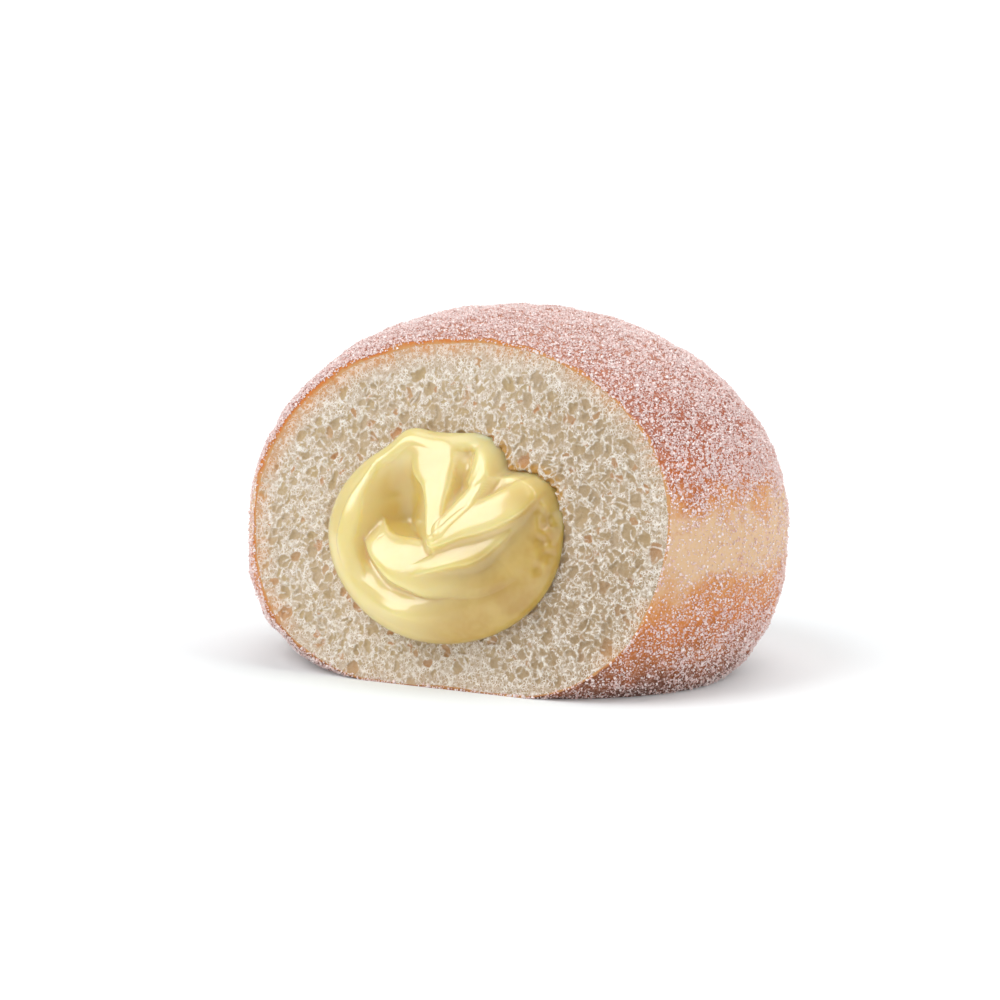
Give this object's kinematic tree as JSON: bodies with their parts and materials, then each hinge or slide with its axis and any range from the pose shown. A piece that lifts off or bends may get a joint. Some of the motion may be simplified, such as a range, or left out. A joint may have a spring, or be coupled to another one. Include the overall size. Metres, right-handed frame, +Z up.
{
  "type": "custard filled doughnut",
  "caption": "Round sugared doughnut with one end cut off, showing the open crumb and a swirl of custard that swells out of the cut.",
  "frame": {"origin": "middle of the flat base, on the doughnut's round axis", "axes": "+Z up, -Y the way the cut faces, +X to the right seen from in front of the cut"},
  "size_m": [0.0876, 0.0778, 0.0581],
  "materials": {
    "dough": "sugared fried crust, cream crumb on the cut",
    "custard": "smooth glossy custard"
  },
  "bodies": {
    "root": {"dough": "dough", "custard": "custard"}
  },
  "joints": []
}
